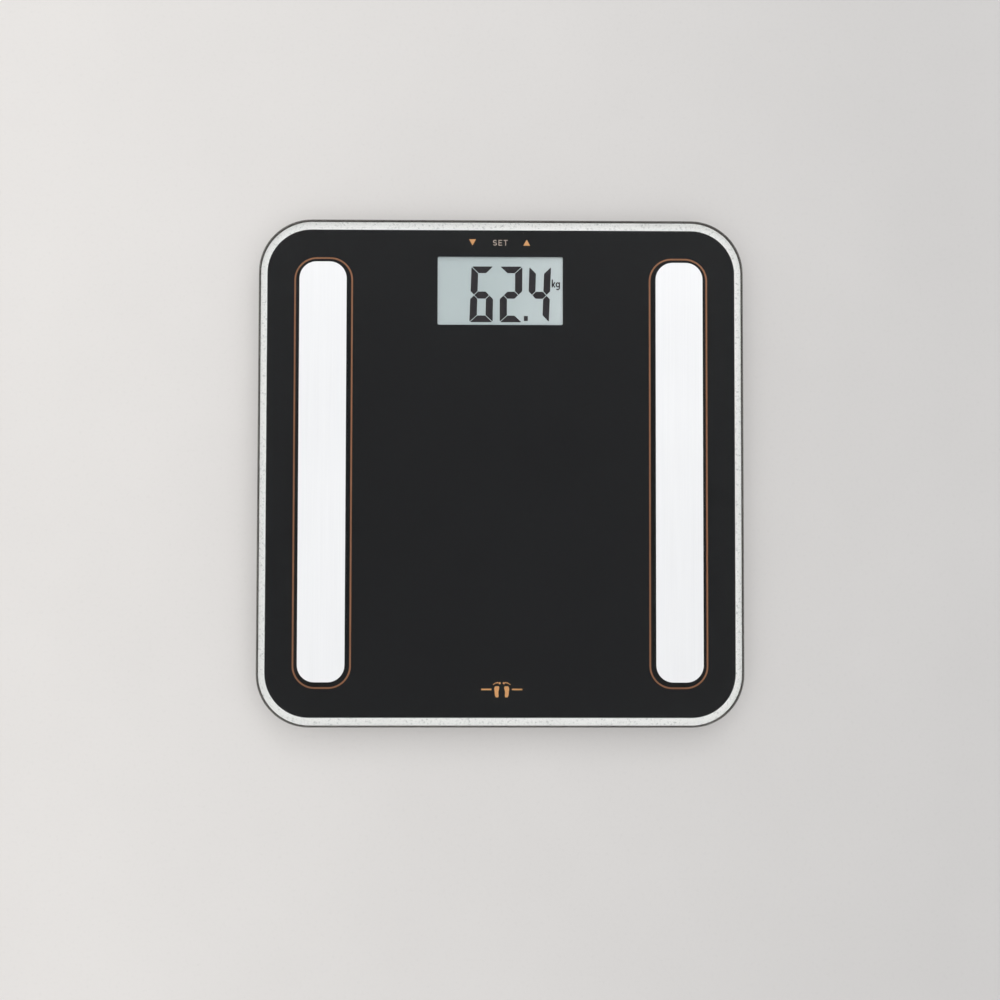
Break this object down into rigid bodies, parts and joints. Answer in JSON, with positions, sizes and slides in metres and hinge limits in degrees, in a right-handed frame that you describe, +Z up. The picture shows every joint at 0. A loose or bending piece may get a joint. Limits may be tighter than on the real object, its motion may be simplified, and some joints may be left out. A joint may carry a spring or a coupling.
{
  "type": "digital bathroom scale",
  "caption": "Flat glass bathroom scale with a black backing, two steel foot electrodes, a reflective number display, load-cell feet and a battery door underneath.",
  "frame": {"origin": "on the floor under the middle of the glass", "axes": "+Z up, +Y towards the display, +X to the right of a user who faces the display"},
  "size_m": [0.313, 0.327, 0.0254],
  "materials": {
    "clear_glass": "polished clear toughened glass",
    "black_print": "black ceramic print seen through glass",
    "brushed_steel": "fine lengthwise brushing",
    "zinc_steel": "bright zinc plate",
    "fibre": "red vulcanised fibre",
    "tinned_brass": "tinned",
    "white_lead": "smooth",
    "tray_plastic": "fine spark texture",
    "foam_tape": "closed-cell foam",
    "label_paper": "satin film label, blank",
    "foot_plastic": "fine texture",
    "foot_rubber": "matte",
    "cell_steel": "stamped, nickel plated",
    "silicone": "soft white",
    "retainer_plastic": "natural ABS",
    "red_lead": "smooth",
    "battery_jacket": "plain foil jacket",
    "contact_metal": "nickel plated spring steel",
    "black_lead": "smooth",
    "door_plastic": "fine spark texture",
    "board_green": "green solder mask",
    "chip_black": "moulded epoxy",
    "lcd_glass": "reflective display",
    "lcd_white": "white",
    "zebra_rubber": "layered elastomer",
    "flex_amber": "polyimide film",
    "button_plastic": "fine texture"
  },
  "bodies": {
    "platform": {"glass_platform": "clear_glass", "printed_film": "black_print", "electrode_left": "brushed_steel", "electrode_right": "brushed_steel", "electrode_nuts": "zinc_steel", "retainer_screws": "zinc_steel", "board_screws": "zinc_steel", "electrode_washers": "fibre", "ring_terminals": "tinned_brass", "electrode_leads": "white_lead", "base_tray": "tray_plastic", "bonding_tape": "foam_tape", "lcd_gasket": "foam_tape", "rating_label": "label_paper", "load_cell_front_left": "cell_steel", "load_cell_front_right": "cell_steel", "load_cell_rear_left": "cell_steel", "load_cell_rear_right": "cell_steel", "gauge_seal_front_left": "silicone", "gauge_seal_front_right": "silicone", "gauge_seal_rear_left": "silicone", "gauge_seal_rear_right": "silicone", "cell_retainer_front_left": "retainer_plastic", "cell_retainer_front_right": "retainer_plastic", "cell_retainer_rear_left": "retainer_plastic", "cell_retainer_rear_right": "retainer_plastic", "load_cell_lead_front_left": "red_lead", "load_cell_lead_front_right": "red_lead", "load_cell_lead_rear_left": "red_lead", "load_cell_lead_rear_right": "red_lead", "battery_cell_1": "battery_jacket", "battery_cell_2": "battery_jacket", "battery_cell_3": "battery_jacket", "contact_negative": "contact_metal", "contact_positive": "contact_metal", "contact_bridge_left": "contact_metal", "contact_bridge_right": "contact_metal", "contact_springs": "contact_metal", "battery_leads": "black_lead", "main_board": "board_green", "board_components": "chip_black", "unit_switch_body": "chip_black", "lcd_panel": "lcd_glass", "lcd_reflector": "lcd_white", "lcd_frame": "lcd_white", "zebra_strips": "zebra_rubber", "touch_key_flex": "flex_amber"},
    "front_left_foot": {"foot_front_left": "foot_plastic", "foot_pad_front_left": "foot_rubber"},
    "front_right_foot": {"foot_front_right": "foot_plastic", "foot_pad_front_right": "foot_rubber"},
    "rear_left_foot": {"foot_rear_left": "foot_plastic", "foot_pad_rear_left": "foot_rubber"},
    "rear_right_foot": {"foot_rear_right": "foot_plastic", "foot_pad_rear_right": "foot_rubber"},
    "door": {"battery_door": "door_plastic", "battery_door_latch": "door_plastic"},
    "button": {"unit_button": "button_plastic", "unit_switch_plunger": "chip_black"}
  },
  "joints": [
    {"name": "front_left_foot_press", "type": "slide", "parent": "platform", "child": "front_left_foot", "axis": [0, 0, 1], "range_m": [0, 0.0008], "stiffness_N_per_m": 5000, "springref_m": -0.004, "deforming": ["load_cell_front_left"]},
    {"name": "front_right_foot_press", "type": "slide", "parent": "platform", "child": "front_right_foot", "axis": [0, 0, 1], "range_m": [0, 0.0008], "stiffness_N_per_m": 5000, "springref_m": -0.004, "deforming": ["load_cell_front_right"]},
    {"name": "rear_left_foot_press", "type": "slide", "parent": "platform", "child": "rear_left_foot", "axis": [0, 0, 1], "range_m": [0, 0.0008], "stiffness_N_per_m": 5000, "springref_m": -0.004, "deforming": ["load_cell_rear_left"]},
    {"name": "rear_right_foot_press", "type": "slide", "parent": "platform", "child": "rear_right_foot", "axis": [0, 0, 1], "range_m": [0, 0.0008], "stiffness_N_per_m": 5000, "springref_m": -0.004, "deforming": ["load_cell_rear_right"]},
    {"name": "battery_door_hinge", "type": "hinge", "parent": "platform", "child": "door", "pos_m": [0, 0.0187, 0.0056], "axis": [-1, 0, 0], "range_deg": [0, 75], "deforming": ["battery_door_latch"]},
    {"name": "unit_button_press", "type": "slide", "parent": "platform", "child": "button", "axis": [0, 0, 1], "range_m": [0, 0.0005], "stiffness_N_per_m": 4000}
  ]
}
